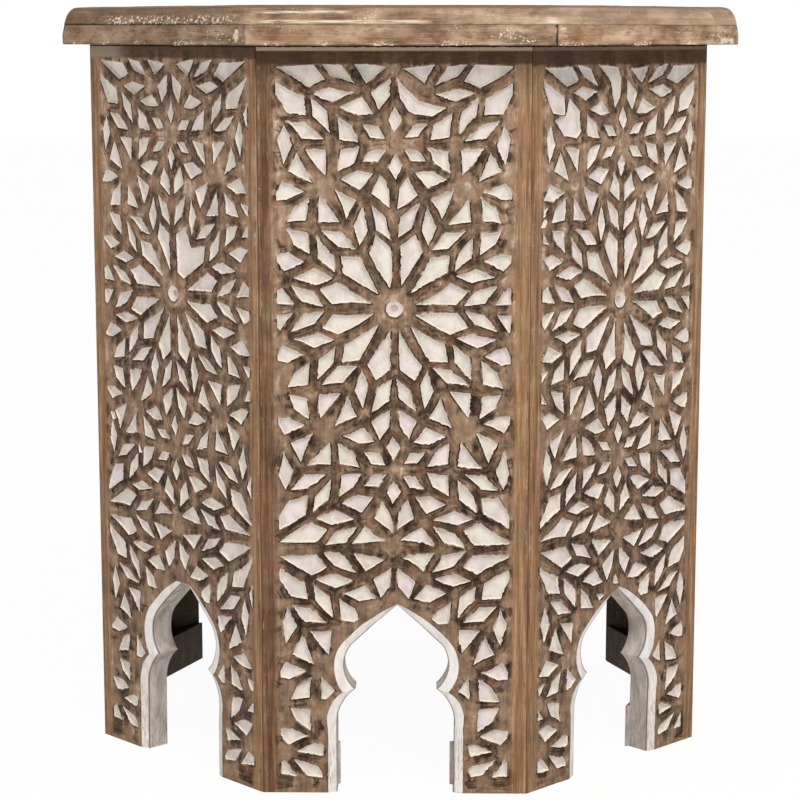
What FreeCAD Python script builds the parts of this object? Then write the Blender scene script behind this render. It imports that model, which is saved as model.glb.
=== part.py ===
import FreeCAD, Part
import math
import os

# Octagonal carved stool, in millimetres. +Z is up, the origin is on the floor under the middle of the top,
# and the front panel faces -Y.

# Overall sizes
overall_height = 508.0
top_across_flats = 457.0
body_across_flats = 416.0
side_count = 8

# Boards
panel_thickness = 18.0
edging_thickness = 13.0
edging_width = 60.0
plank_thickness = 12.0
plank_edge_round = 11.0
plank_count = 4

# Arch that is cut through each panel, and its bevelled mouth on the outer face
opening_half_width = 38.0
opening_height = 126.0
mouth_bevel_width = 6.0
mouth_bevel_depth = 2.5
mouth_apex_rise = 1.3

# Carving of the outer face: stars of recesses between raised straps. A twelve-pointed rosette stands in the
# middle, with a six-pointed flower one pitch above and one pitch below it. Further rosettes stand just outside
# the carved field, which cuts them off.
star_pitch = 103.6
rosette_height = 319.0
carving_depth = 2.2
rosette_points = 12
flower_points = 6
stile_width = 11.7
top_rail_width = 11.4

# Corner blocks glued inside the mitres, at the floor and under the top. The short ones stay clear of the
# arches.
block_lip = 2.0
short_block_lip = -2.0
short_block_names = ["foot_block_3", "foot_block_7"]
block_end_width = 1.5
foot_block_height = 29.0
top_block_height = 30.0

# Wood screws that hold the top, one through each top block
screw_length = 39.0
screw_shank_radius = 2.25
screw_head_radius = 4.25
screw_head_depth = 2.6
screw_tip_length = 4.0
screw_point_radius = 0.3
screw_sides = 6
screw_clearance = 0.1
screw_wall_distance = 5.5
screw_corner_distance = 14.0

# How far cutting tools run past the wood
overrun = 1.0

# Outline of the opening, from the jamb's top up to the apex. Each pair is a share of the half width and
# a share of the height. Every second point is the middle of an arc.
opening_outline_shares = [
    (1.0, 0.349),
    (0.953, 0.456),
    (0.689, 0.556),
    (0.889, 0.694),
    (0.774, 0.789),
    (0.384, 0.900),
    (0.0, 1.0),
]

# Outline of the bevel's outer edge, in the same way
mouth_outline_shares = [
    (1.0, 0.346),
    (0.961, 0.463),
    (0.777, 0.536),
    (0.919, 0.683),
    (0.732, 0.820),
    (0.368, 0.927),
    (0.0, 1.0),
]

# Number of straight steps in which each of those arcs is cut
arch_arc_steps = [4, 5, 3]

# Outlines of the recesses, as distances from a star's middle along a ray and across it. Each is a share of the
# pitch.
petal_shares = [(0.135, 0.0), (0.357, 0.075), (0.464, 0.0), (0.357, -0.075)]
kite_shares = [(0.430, 0.024), (0.568, 0.031), (0.612, 0.141), (0.503, 0.117)]
leaf_shares = [(0.068, 0.0), (0.141, 0.042), (0.221, 0.0), (0.141, -0.042)]
tooth_shares = [(0.209, 0.028), (0.338, 0.028), (0.338, 0.159), (0.248, 0.110)]

# A petal that the field cuts off is carved if this much of it is left
least_petal_share = 0.6

side_names = ["front", "front_right", "right", "back_right", "back", "back_left", "left", "front_left"]

# Sizes that follow from the ones above
side_step = 360.0 / side_count
half_step = math.radians(side_step / 2)
side_tangent = math.tan(half_step)
body_apothem = body_across_flats / 2
inner_apothem = body_apothem - panel_thickness
top_apothem = top_across_flats / 2
slab_thickness = edging_thickness + plank_thickness
panel_height = overall_height - slab_thickness
plank_underside = panel_height + edging_thickness
mouth_half_width = opening_half_width + mouth_bevel_width
mouth_height = opening_height + mouth_apex_rise
field_half_width = body_apothem * side_tangent - stile_width
field_height = panel_height - top_rail_width
side_rosette_distance = star_pitch * math.cos(math.radians(180 / flower_points))
side_rosette_rise = star_pitch * (1 + math.sin(math.radians(180 / flower_points)))
inner_corner_radius = inner_apothem / math.cos(half_step)

up = FreeCAD.Vector(0, 0, 1)
centre = FreeCAD.Vector(0, 0, 0)


def turned(shape, steps):
    """A copy of a shape, turned about the stool's axis by a number of sides."""
    copy = shape.copy()
    copy.rotate(centre, up, steps * side_step)
    return copy


def prism(plan_points, bottom, height):
    """An upright prism over a closed plan outline."""
    corners = [FreeCAD.Vector(x, y, bottom) for x, y in plan_points]
    return Part.Face(Part.makePolygon(corners + corners[:1])).extrude(up * height)


def flat_sided(rings):
    """A closed solid through a stack of rings of corners, with flat facets from ring to ring."""
    faces = [Part.Face(Part.makePolygon(ring + ring[:1])) for ring in (rings[0], rings[-1])]
    for lower, upper in zip(rings, rings[1:]):
        for number in range(len(lower)):
            first = [lower[number - 1], lower[number], upper[number]]
            second = [upper[number], upper[number - 1], lower[number - 1]]
            faces.append(Part.Face(Part.makePolygon(first + first[:1])))
            faces.append(Part.Face(Part.makePolygon(second + second[:1])))
    return Part.Solid(Part.Shell(faces)).removeSplitter()


def sector_board(outer_apothem, depth, bottom, height):
    """A board of one side of the octagon, facing -Y, with mitred ends."""
    back_apothem = outer_apothem - depth
    plan = [
        (-outer_apothem * side_tangent, -outer_apothem),
        (outer_apothem * side_tangent, -outer_apothem),
        (back_apothem * side_tangent, -back_apothem),
        (-back_apothem * side_tangent, -back_apothem),
    ]
    return prism(plan, bottom, height)


def arch_points(outline_shares, half_width, height):
    """The points of half an arch outline, as real sizes."""
    return [(x * half_width, z * height) for x, z in outline_shares]


def arch_outline(points, y):
    """The corners of a whole arch outline in the upright plane at y, from below the floor round to there."""
    knots = [FreeCAD.Vector(x, y, z) for x, z in points]
    jamb = points[0][0]
    right = [FreeCAD.Vector(jamb, y, -overrun)]
    for number, steps in enumerate(arch_arc_steps):
        start, middle, end = knots[2 * number:2 * number + 3]
        right += Part.Arc(start, middle, end).toShape().discretize(steps + 1)[:-1]
    left = [FreeCAD.Vector(-corner.x, y, corner.z) for corner in reversed(right)]
    return right + knots[-1:] + left


def arch_cutter():
    """The arch through the board, with the bevel that widens it towards the outer face."""
    opening = arch_points(opening_outline_shares, opening_half_width, opening_height)
    mouth = arch_points(mouth_outline_shares, mouth_half_width, mouth_height)
    outer_face = -body_apothem
    corners = arch_outline(opening, outer_face - overrun)
    through = Part.Face(Part.makePolygon(corners + corners[:1]))
    through = through.extrude(FreeCAD.Vector(0, panel_thickness + 2 * overrun, 0))
    reach = overrun / mouth_bevel_depth
    widened = []
    for (mouth_x, mouth_z), (opening_x, opening_z) in zip(mouth, opening):
        x = mouth_x + (mouth_x - opening_x) * reach
        z = mouth_z + (mouth_z - opening_z) * reach
        widened.append((x, z))
    front = arch_outline(widened, outer_face - overrun)
    back = arch_outline(opening, outer_face + mouth_bevel_depth)
    return through.fuse(flat_sided([front, back]))


def recess(outline_shares, side, ray_angle, star):
    """The cutter for one recess of a star at (x, z), on one side of a ray from the star's middle."""
    ray = math.radians(ray_angle)
    corners = []
    for along_share, across_share in outline_shares:
        along = along_share * star_pitch
        across = across_share * star_pitch * side
        x = star[0] + along * math.cos(ray) - across * math.sin(ray)
        z = star[1] + along * math.sin(ray) + across * math.cos(ray)
        corners.append(FreeCAD.Vector(x, -body_apothem - overrun, z))
    outline = Part.Face(Part.makePolygon(corners + corners[:1]))
    return outline.extrude(FreeCAD.Vector(0, carving_depth + overrun, 0))


def petals(star):
    """The petals of a rosette, one between each two of its rays."""
    step = 360 / rosette_points
    return [recess(petal_shares, 1, (number + 0.5) * step, star) for number in range(rosette_points)]


def kites(star):
    """The kites round a rosette, one on both sides of each ray's end."""
    step = 360 / rosette_points
    rays = [number * step for number in range(rosette_points)]
    return [recess(kite_shares, side, ray, star) for ray in rays for side in (1, -1)]


def flower(star):
    """The recesses of a flower: a leaf between each two rays, and a tooth on both sides of each ray."""
    step = 360 / flower_points
    recesses = []
    for number in range(flower_points):
        recesses.append(recess(leaf_shares, 1, (number + 0.5) * step, star))
        recesses.append(recess(tooth_shares, 1, number * step, star))
        recesses.append(recess(tooth_shares, -1, number * step, star))
    return recesses


def side_petals():
    """The petals of the rosettes beside the field that lie in it, cut off at its edges."""
    depth = panel_thickness + 2 * overrun
    corner = FreeCAD.Vector(-field_half_width, -body_apothem - overrun, 0)
    field = Part.makeBox(2 * field_half_width, depth, field_height, corner)
    kept = []
    for x in (-side_rosette_distance, side_rosette_distance):
        for z in (rosette_height - side_rosette_rise, rosette_height + side_rosette_rise):
            for petal in petals((x, z)):
                inside = petal.common(field)
                if inside.Volume > least_petal_share * petal.Volume:
                    kept.append(inside)
    return kept


def side_panel():
    """The front panel: a mitred board with its arch and its carved stars."""
    board = sector_board(body_apothem, panel_thickness, 0, panel_height)
    rosette = (0, rosette_height)
    carving = petals(rosette) + kites(rosette) + side_petals()
    carving += flower((0, rosette_height + star_pitch))
    carving += flower((0, rosette_height - star_pitch))
    return board.cut(arch_cutter()).cut(Part.makeCompound(carving))


def corner_frame(distance_along, distance_in, side):
    """A plan point beside the inner corner of the front panel's right mitre.

    It lies so far along one of the two panels and so far in from its inner face.
    """
    middle = math.radians(-90) + half_step
    outward = (math.cos(middle), math.sin(middle))
    across = (-math.sin(middle), math.cos(middle))
    inward_share = math.sin(half_step)
    across_share = math.cos(half_step)
    radial = inner_corner_radius - distance_along * inward_share - distance_in * across_share
    sideways = side * (distance_along * across_share - distance_in * inward_share)
    return (radial * outward[0] + sideways * across[0], radial * outward[1] + sideways * across[1])


def corner_block(bottom, height, lip):
    """A block that fills the corner between two panels and reaches past the arches' jambs by its lip."""
    leg = inner_apothem * side_tangent - opening_half_width + lip
    plan = [
        corner_frame(0, 0, 1),
        corner_frame(leg, 0, 1),
        corner_frame(leg, block_end_width, 1),
        corner_frame(leg, block_end_width, -1),
        corner_frame(leg, 0, -1),
    ]
    return prism(plan, bottom, height)


def screw_ring(radius, height_above_block_foot):
    """The corners of a ring round the first top block's screw axis."""
    x, y = corner_frame(screw_corner_distance, screw_wall_distance, 1)
    z = panel_height - top_block_height + height_above_block_foot
    corners = []
    for number in range(screw_sides):
        angle = math.radians(360 * number / screw_sides)
        corners.append(FreeCAD.Vector(x + radius * math.cos(angle), y + radius * math.sin(angle), z))
    return corners


def screw():
    """A countersunk wood screw, driven upwards, with its head flush with the block's underside."""
    return flat_sided([
        screw_ring(screw_head_radius, 0),
        screw_ring(screw_shank_radius, screw_head_depth),
        screw_ring(screw_shank_radius, screw_length - screw_tip_length),
        screw_ring(screw_point_radius, screw_length),
    ])


def screw_hole():
    """The hole for one screw, clear of it all round."""
    narrow = screw_shank_radius + screw_clearance
    return flat_sided([
        screw_ring(screw_head_radius + screw_clearance, 0),
        screw_ring(narrow, screw_head_depth),
        screw_ring(narrow, screw_length + screw_clearance),
    ])


def top_board():
    """The whole octagonal top before it is divided into planks, with its rounded upper edge."""
    corner_radius = top_apothem / math.cos(half_step)
    angles = [math.radians(-90 + side_step * (side + 0.5)) for side in range(side_count)]
    plan = [(corner_radius * math.cos(angle), corner_radius * math.sin(angle)) for angle in angles]
    board = prism(plan, plank_underside, plank_thickness)
    rim = [edge for edge in board.Edges if edge.BoundBox.ZMin > plank_underside + plank_thickness / 2]
    return board.makeFillet(plank_edge_round, rim)


def top_planks():
    """The planks of the top, which lie side by side and run left to right."""
    board = top_board()
    plank_width = top_across_flats / plank_count
    planks = []
    for number in range(plank_count):
        near = -top_apothem + number * plank_width
        corner = FreeCAD.Vector(-top_apothem, near, plank_underside)
        strip = Part.makeBox(top_across_flats, plank_width, plank_thickness, corner)
        planks.append(board.common(strip))
    return planks


def write(name, shape):
    """One STEP file for one sub-part."""
    shape.exportStep("parts/" + name + ".step")


def build():
    os.makedirs("parts", exist_ok=True)
    panel = side_panel()
    hole = screw_hole()
    top_block = corner_block(panel_height - top_block_height, top_block_height, block_lip).cut(hole)
    edging = sector_board(top_apothem, edging_width, panel_height, edging_thickness)
    edging = edging.cut(turned(hole, -1))
    for steps, side in enumerate(side_names):
        foot_name = "foot_block_" + str(steps + 1)
        lip = short_block_lip if foot_name in short_block_names else block_lip
        write("side_panel_" + side, turned(panel, steps))
        write(foot_name, turned(corner_block(0, foot_block_height, lip), steps))
        write("top_block_" + str(steps + 1), turned(top_block, steps))
        write("top_edging_" + side, turned(edging, steps))
    screws = [turned(screw(), steps) for steps in range(side_count)]
    write("top_screws", Part.makeCompound(screws))
    for number, plank in enumerate(top_planks()):
        write("top_plank_" + str(number + 1), plank)


build()
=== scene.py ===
import cmath
import math
import random

import bmesh
import bpy
import numpy as np
from mathutils import Matrix, Vector, kdtree, noise
from mathutils.geometry import delaunay_2d_cdt


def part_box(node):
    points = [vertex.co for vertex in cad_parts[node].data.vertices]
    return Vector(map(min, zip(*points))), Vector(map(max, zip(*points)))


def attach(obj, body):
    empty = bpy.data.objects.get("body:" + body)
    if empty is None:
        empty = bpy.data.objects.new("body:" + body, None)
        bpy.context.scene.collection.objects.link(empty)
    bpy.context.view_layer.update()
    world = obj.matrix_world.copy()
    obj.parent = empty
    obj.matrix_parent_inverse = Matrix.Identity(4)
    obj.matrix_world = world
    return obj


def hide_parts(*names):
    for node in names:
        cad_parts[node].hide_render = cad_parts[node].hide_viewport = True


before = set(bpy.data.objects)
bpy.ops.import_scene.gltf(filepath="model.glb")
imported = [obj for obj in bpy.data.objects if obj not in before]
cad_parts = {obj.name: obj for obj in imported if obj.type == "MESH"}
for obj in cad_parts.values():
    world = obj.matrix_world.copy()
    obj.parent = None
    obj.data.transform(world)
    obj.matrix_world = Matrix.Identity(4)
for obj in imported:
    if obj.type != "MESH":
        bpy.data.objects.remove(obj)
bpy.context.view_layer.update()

# The carved octagonal stool. Lengths are in millimetres and are scaled by mm where a mesh is made. A panel is
# drawn in its own plane as complex numbers, with the real part across from its middle and the imaginary part
# up from the floor, and depth counts inwards from its outer face.
mm = 0.001

# Sizes read from the frame
panel_low, panel_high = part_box("side_panel_front")
panel_half_width = panel_high.x / mm
panel_height = panel_high.z / mm
body_apothem = -panel_low.y / mm
panel_thickness = (panel_high.y - panel_low.y) / mm
edging_low, edging_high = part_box("top_edging_front")
top_apothem = -edging_low.y / mm
edging_width = (edging_high.y - edging_low.y) / mm
edging_bottom = edging_low.z / mm
edging_top = edging_high.z / mm
plank_low, plank_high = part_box("top_plank_1")
overall_height = plank_high.z / mm
plank_width = (plank_high.y - plank_low.y) / mm
plank_thickness = overall_height - edging_top
plank_count = 4
side_names = ["front", "front_right", "right", "back_right", "back", "back_left", "left", "front_left"]
side_count = len(side_names)
half_step = math.pi / side_count
side_tangent = math.tan(half_step)
inner_half_width = panel_half_width - panel_thickness * side_tangent

# Arch
opening_half_width = 38.0
opening_height = 126.0
mouth_half_width = 44.0
mouth_height = 127.3
mouth_bevel_depth = 2.5
opening_outline_shares = [
    (1.0, 0.0), (1.0, 0.17), (1.0, 0.349), (0.953, 0.456), (0.689, 0.556), (0.889, 0.694), (0.774, 0.789),
    (0.384, 0.900), (0.0, 1.0)]
mouth_outline_shares = [
    (1.0, 0.0), (1.0, 0.17), (1.0, 0.346), (0.961, 0.463), (0.777, 0.536), (0.919, 0.683), (0.732, 0.820),
    (0.368, 0.927), (0.0, 1.0)]
arc_points = 11
soft_bevel_depth = 0.5

# How far an arch was cut off its mark: its foot to the right, its apex to the right, and its apex upwards
arch_errors = {"front": (0.6, 1.8, 0.0), "front_left": (0.5, 5.0, 2.5), "front_right": (0.5, 4.5, -3.5)}

# Star pattern
star_pitch = 103.6
half_pattern_width = star_pitch * math.cos(math.radians(30))
rosette_height = 319.0
rosette_ring = 41.2
tooth_near_distance = 19.0
tooth_far_distance = 27.0
leaf_near = 7.0
leaf_middle = 14.6
leaf_far = 23.0
leaf_half_width = 4.2
pattern_rows = range(-3, 4)
pattern_columns = range(-1, 2)

# How far the corners of a petal, a kite, a tooth and a triangle are pulled in to leave the straps
petal_middle_pull, petal_ring_pull, petal_tip_pull = 13.8, 3.8, 2.6
kite_ring_pull, kite_node_pull, kite_star_pull, kite_tip_pull = 3.6, 4.5, 6.6, 3.2
tooth_near_pull, tooth_far_pull, tooth_node_pull, tooth_star_pull = 3.5, 3.2, 4.5, 5.2
triangle_star_pull, triangle_end_pull, triangle_node_pull = 4.6, 5.3, 4.8

# Carved field: its left, right and top limits, which some sides have a little off
field_bottom = 9.9
plain_limits = (-74.5, 74.5, 471.6)
field_limits = {
    "front": (-73.9, 73.6, 471.6), "front_left": (-74.5, 77.6, 474.4), "front_right": (-75.4, 72.5, 470.6)}
pattern_shifts = {"front_left": 0.4 + 2.5j, "front_right": 0.3 - 1.0j, "left": 1.0j, "back": -0.8 + 0.6j}
arch_margin = 3.6
arch_reach = 25.0
arch_cuts = 4
smallest_recess = 14.0
shortest_side = 1.6
widest_strap = 9.0

# Places of straps that are worn away between two cells, and how deep a notch is left there as a share
worn_straps = {
    "front": [(14.3 + 450.4j, 0.12)], "front_left": [(12.0 + 341.0j, 0.36)],
    "front_right": [(-10.3 + 460.6j, 0.15), (-51.3 + 432.7j, 0.25)]}
strap_search_shares = (0, 0.25, 0.5, 0.75)

# How the carver's hand and the knife leave each recess, and how far each corner of a side's cells is let out
cell_growths = {"front": -0.09, "front_left": -0.75, "front_right": -0.42}
hand_error = 0.4
side_bow_share = 0.02
ragged_steps = (0.08, 0.14, 0.24)
border_error = 0.12
outline_spacing = 1.35
wall_ring_shares = (0.5, 1)
wall_runs = (0.9, 1.5)
recess_depths = (1.9, 2.5)
tip_shares = (0.35, 0.7)
floor_wave = (3.0, 0.12)

# Drilled dimple in the middle of the rosette
dimple_radius = 5.3
dimple_error = 0.15
dimple_depth = 1.5
dimple_wall = 1.6
dimple_points = 20
drill_radius = 2.8
drill_floor_radius = 1.68
drill_depth = 3.0
drill_floor_depth = 2.7
drill_points = 12
drill_rim = -9.0

# Plain surface between the recesses: points beside an outline, the grid of the rest and what it keeps clear
lip_widths = (0.7, 1.5)
face_grid = 4.2
row_share = 0.866
outline_clearance = 2.2
edge_clearance = 3.0
mouth_clearance = 1.5

# Shares of its distance that a point of a wall's ring, and one of a tip or lip, keeps from all outlines, and
# the least bend of a corner that gets tips
ring_clearance = 0.95
tip_clearance = 0.85
flattest_corner = 0.2

# Lengths that count as nothing, for corners on a border, for straight lines and for points laid on each other
touch = 0.01
tiny = 1e-6
same_point = 1e-5
weld_distance = 0.02

# Wear of a panel's long edges, in waves of a length, a place in the noise and a share, the profile from its
# face round to the mitre as shares and depths, and the waves of the arch's edges as a length and a size
edge_wear = 1.3
least_edge_wear = -0.35
edge_waves = ((37.0, 0, 0.45), (6.0, 5, 0.25))
edge_points = 110
edge_profile = ((0.45, 0.12), (0.75, 0.45), (1.0, 1.2), (1.0, panel_thickness))
mouth_wave = (14.0, 0.5)
bevel_wave = (9.0, 0.4)
panel_sharp_angle = 32
slab_sharp_angle = 40

# Places of a panel's materials
slot_face, slot_recess, slot_bevel, slot_reveal, slot_inner = range(5)

# What a panel's material reads at each point, and what is plain wood far from any recess
point_marks = ("rim", "strap", "lean")
side_marks = ("field_top", "strip", "number", "tone")
plain_marks = (2 * widest_strap, widest_strap, 0)
no_marks = (0, 0, 0)

# Slab. A profile is insets and heights, a wave of wear is its length and its share, and what is less than
# near_edge from a face is worn with it.
rim_round = 11.0
rim_inset = 0.05
rim_foot = [(3.0, 0), (0.3, 0), (rim_inset, 0.35)]
rim_steps = 9
rim_wear = 0.5
rim_drop_share = 0.6
rim_drop_from = 6.0
slow_wave, slow_share = 31.0, 0.7
quick_wave, quick_share = 5.0, 0.45
middle_wear_share = 0.45
slab_side_points = 48
corner_soft = 1.6
corner_soft_reach = 7.0
joint_gap = 0.15
edging_wear = 0.45
edging_ends = [(0.7, 0), (0.2, 0.25), (0, 0.8)]
edging_spacing = 60.0
mitre_gap = 0.25
mitre_round = 0.5
near_edge = 1.0

# How far the slab's corners are off their marks to the right, by the side that each one ends, and how much
# the corners of some sides are rubbed round above a height
slab_corner_errors = {"front": 6.6, "front_left": 3.0, "left": 2.6}
rubbed_corners = ("left", "front_right")
rubbed_depth = 3.4
rubbed_reach = 26.0
rubbed_from = overall_height - 15.0

# How far apart two panels', two planks' and two strap edges' patches of grain and of dirt are taken
panel_spacing = 350.0
plank_spacing = 730.0
lean_spacing = 20.0

# Seeds that keep one kind of wear from repeating another
seed_spacing = 7.31
left_edge_seed = 50
upward_seed = 3
rim_back_seed = 3
rim_drop_seed = 8
edging_lift_seed = 20

# Colours, as a screen shows them in steps to 255. A ramp runs over a tone from 0 to 1.
plank_colours = ((104, 78, 57), (153, 125, 99), (190, 165, 138))
edging_colours = ((112, 84, 62), (158, 130, 104), (192, 166, 140))
inner_colours = ((44, 29, 12), (67, 48, 28), (92, 69, 43))
board_stops = (0.25, 0.5, 0.75)
stain_share = 0.75
# Pale wood of knocks and flecks, also used for painted highlights along the rim
fleck_and_highlight_colour = (228, 212, 190)
dark_rim_colour = (116, 88, 64)
dark_end_colour = (84, 58, 38)
pale_end_colour = (206, 178, 156)
olive = (108, 104, 70)
plum = (112, 78, 74)
rust = (158, 104, 66)
wood_ramp = ((0.0, (34, 19, 8)), (0.15, (64, 46, 32)), (0.3, (88, 69, 54)), (0.45, (110, 90, 72)),
             (0.6, (133, 107, 85)), (0.75, (151, 124, 100)), (0.88, (168, 144, 122)), (1.0, (196, 176, 158)))
stile_ramp = ((0.2, (80, 50, 26)), (0.42, (122, 85, 54)), (0.58, (154, 117, 82)), (0.8, (188, 154, 121)))
edge_line_colour = (26, 14, 7)
smear_colour = (198, 180, 160)
# Painted shadow of the slab's overhang on the top of each panel, and its paler end on the front-left panel
shadow_band_colour = (74, 52, 34)
paler_shadow_end_colour = (160, 143, 126)
top_strip_colour = (198, 174, 150)
paint_ramp = ((0.36, (219, 209, 210)), (0.48, (222, 212, 204)), (0.62, (217, 215, 204)))
dull_white = (190, 182, 175)
# Cream paint along a recess's rim, with a painted highlight along lower edges where the wall faces up
cream_fringe_and_highlight = (240, 224, 204)
# Grey for dirt in a recess, and for painted shade along a recess's upper edge
recess_dirt_and_shade = (158, 142, 126)
drill_colour = (184, 164, 152)
bevel_ramp = ((0.3, (204, 199, 192)), (0.6, (228, 225, 222)))
reveal_ramp = ((0.3, (162, 150, 137)), (0.6, (216, 209, 202)))
arch_dirt_colour = (144, 122, 96)
arch_line_colour = (92, 78, 66)
steel_ramp = ((0.35, (96, 90, 84)), (0.65, (168, 164, 156)))
floor_ramp = ((0.3, (248, 248, 248)), (0.7, (250, 250, 250)))

# What differs from side to side: the edging's tone, the pale strip over the field and the carved wood's tone
edging_tones = {"front_left": 0.9, "front_right": 1.05, "left": 0.9}
strip_shares = {"front": 0.8, "front_right": 0.25}
side_tones = {"front_right": 0.01}

# Pale streaks on the rim, which are worn arrises with a painted highlight on them, a knocked arris, and paint
# caught
# on the edging by side: heights from and to, and places across from and to. Then the place where the front
# edging's end stands open.
worn_and_highlight_streaks = [(497.0, 498.6, -82.0, 20.0), (502.8, 504.2, -82.0, -28.0), (496.5, 500.5, 93.0, 101.0)]
knocked_arris = (496.5, 501.5, -190.0, -98.0)
pale_patches = {"front_left": [(484.5, 493.5, 87.0, 92.0)],
                "front_right": [(483.2, 487.6, 71.0, 89.0), (492.5, 495.0, -88.0, -83.0)]}
cracks = {"front": [99.1]}

# Patterns of noise: the size of their patches across, through and up, detail, roughness and distortion
patterns = {
    "board_grain": ((90, 4.5, 4.5), 5.0, 0.6, 0.5),
    "board_fine": ((18, 0.7, 0.7), 3.0, 0.6),
    "inner_grain": ((4.5, 4.5, 90), 5.0, 0.6, 0.5),
    "inner_fine": ((0.7, 0.7, 18), 3.0, 0.6),
    "board_blotch": ((20, 20, 12), 4.0, 0.65),
    "stain": ((9, 9, 3.5), 4.0, 0.65),
    "flecks": ((1.5, 1.5, 1.1), 2.0, 0.5),
    "flecked": ((26, 26, 12), 2.0, 0.5),
    "board_tint": ((24, 24, 24), 2.0, 0.5),
    "rim_edges": ((14, 14, 1.6), 3.0, 0.65),
    "knocks": ((2.2, 2.2, 1.6), 3.0, 0.6),
    "streaks": ((16, 16, 0.8), 3.0, 0.7),
    "clinging": ((1.8, 1.8, 1.2), 2.0, 0.55),
    "clung": ((18, 18, 18), 2.0, 0.5),
    "edging_edges": ((3, 3, 3), 3.0, 0.6),
    "carved_grain": ((2.4, 2.4, 60), 4.0, 0.62, 0.2),
    "carved_fine": ((0.5, 0.5, 14), 3.0, 0.6),
    "blotch": ((8, 8, 10), 2.0, 0.55),
    "mottle": ((3.6, 3.6, 4.6), 3.0, 0.6),
    "spots": ((1.3, 1.3, 1.6), 3.0, 0.65),
    "soaking": ((9, 9, 11), 2.0, 0.5, 0.3),
    "along_straps": ((15, 1.3, 15), 1.0, 0.5),
    "carved_tint": ((13, 13, 13), 2.0, 0.5),
    "stile_tint": ((30, 30, 30), 2.0, 0.5),
    "knife": ((6, 6, 7), 2.0, 0.5),
    "clouds": ((9, 9, 12), 3.0, 0.6),
    "tints": ((14, 14, 18), 2.0, 0.5),
    "paint_fine": ((0.9, 0.9, 1.2), 3.0, 0.6),
    "brushed": ((0.7, 3, 12), 3.0, 0.6),
    "fringe_knife": ((5, 5, 6), 2.0, 0.5),
    "grime": ((7, 7, 26), 4.0, 0.65),
    "arch_fine": ((0.7, 0.7, 6), 3.0, 0.6),
    "steel": ((1.5, 1.5, 1.5), 3.0, 0.55),
    "floor": ((400, 400, 400), 2.0, 0.55),
}

# Smooth slopes: where a value's slope starts and ends, and from what to what it goes if that isn't 0 to 1.
# Those named front and front_left are slopes of the side's number.
slopes = {
    "board_stain": (0.52, 0.7, 0, 0.6),
    "board_fleck": (1.14, 1.18, 0, 0.85),
    "board_roughness": (0.3, 0.7, 0.5, 0.75),
    "none_of": (1, 0),
    "top_face": (506.0, 507.6),
    "dark_rim": (503.5, 507.0, 0, 0.55),
    "dark_end": (-76.0, -92.0, 0, 0.9),
    "pale_end": (96.0, 112.0, 0, 0.22),
    "plank_joint": (0.7, 0.3, 0, 0.7),
    "open_joint": (edging_top + 2.0, edging_top + 1.2),
    "knocked": (0.52, 0.6, 0, 0.85),
    "streaked": (0.38, 0.55, 0, 0.9),
    "under_joint": (edging_top - 3.5, edging_top - 0.5, 0, 0.3),
    "low_edge": (edging_bottom + 4.5, edging_bottom + 0.5),
    "clung": (0.5, 0.58),
    "clinging": (0.5, 0.58, 0, 0.9),
    "dark_arris": (edging_bottom + 2.2, edging_bottom + 1.2, 0, 0.6),
    "patch": (1.7, 2.3, 0, 0.75),
    "crack": (1.6, 2.6, 0, 0.9),
    "stile": (74.0, 78.5),
    "off_recess": (0.8, 2.2),
    "strap_tone": (2.4, 5.5, 0.55, 0.645),
    "height_tone": (100, 420, -0.06, 0.11),
    "soaked_strap": (5.0, 3.3),
    "soaked": (0.34, 0.56, 0.25, 1),
    "soaked_core": (0.2, 1.2),
    "strap_streaks": (3.0, 6.0, 1.1, 0.3),
    "by_recess": (3.0, 0.3),
    "edge_tone": (-0.8, 0.8, -0.14, 0.07),
    "front": (0.4, 0.1),
    "front_stiles": (-40, 40, -0.25, 0.02),
    "line_cut": (0.36, 0.5),
    "line_lean": (0.9, 0.3, 0.35, 1),
    "line_strap": (6.0, 4.0, 0.4, 1),
    "edge_line": (2.2, 1.5, 0, 0.95),
    "smear_cut": (0.46, 0.36),
    "smear_lean": (-0.6, 0.4, 0.15, 0.6),
    "smear_reach": (1.3, 0.2),
    "shadow_band": (-0.8, 1.4, 0, 0.85),
    "front_left": (6.4, 6.6),
    "far_end": (-42, -62),
    "top_strip": (480.2, 481.2),
    "shade_under_edging": (482.8, 483.1),
    "carved_roughness": (0.3, 0.7, 0.6, 0.8),
    "dull_clouds": (0.6, 0.36, 0, 0.6),
    "dull_strokes": (0.52, 0.76, 0, 0.35),
    "fringe_cut": (0.4, 0.6, 0.1, 0.9),
    "fringe_highlight_lean": (0.5, -0.4, 0.15, 1),
    "fringe_reach": (1.55, 0.9),
    "upper_shade_lean": (0.1, 0.8, 0, 0.4),
    "upper_shade_reach": (-1.5, -0.2),
    "dirt_specks": (0.56, 0.72),
    "dirt_clouds": (0.5, 0.66, 0, 0.6),
    "drilled": (-3.0, -7.0, 0, 0.8),
    "paint_roughness": (0.3, 0.7, 0.7, 0.9),
    "arch_dirt": (0.45, 0.7),
    "low_arch": (70, 10, 0.15, 0.75),
    "arch_line": (0.45, 0.1, 0, 0.85),
    "steel_roughness": (0.3, 0.7, 0.3, 0.55),
    "floor_roughness": (0.3, 0.7, 0.8, 0.85),
}

# How far a pattern moves the edge of some of those slopes, in the value's own unit
raggedness = {
    "dark_rim": 4.0, "dark_end": 30.0, "pale_end": 12.0, "open_joint": 1.6, "dark_arris": 1.6, "patch": 2.4,
    "crack": 4.0, "edge_line": 1.8, "shadow_band": 3.0, "top_strip": 1.5, "shade_under_edging": 1.5,
    "board_fleck": 0.7}

# How deep each material's bumps are, in millimetres, and how strongly they show
bumps = {"board": (0.4, 0.9), "carved": (0.45, 0.9), "recess": (0.35, 0.8), "arch": (0.25, 0.5),
         "steel": (0.05, 1.0), "floor": (0.01, 1.0)}

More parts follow.
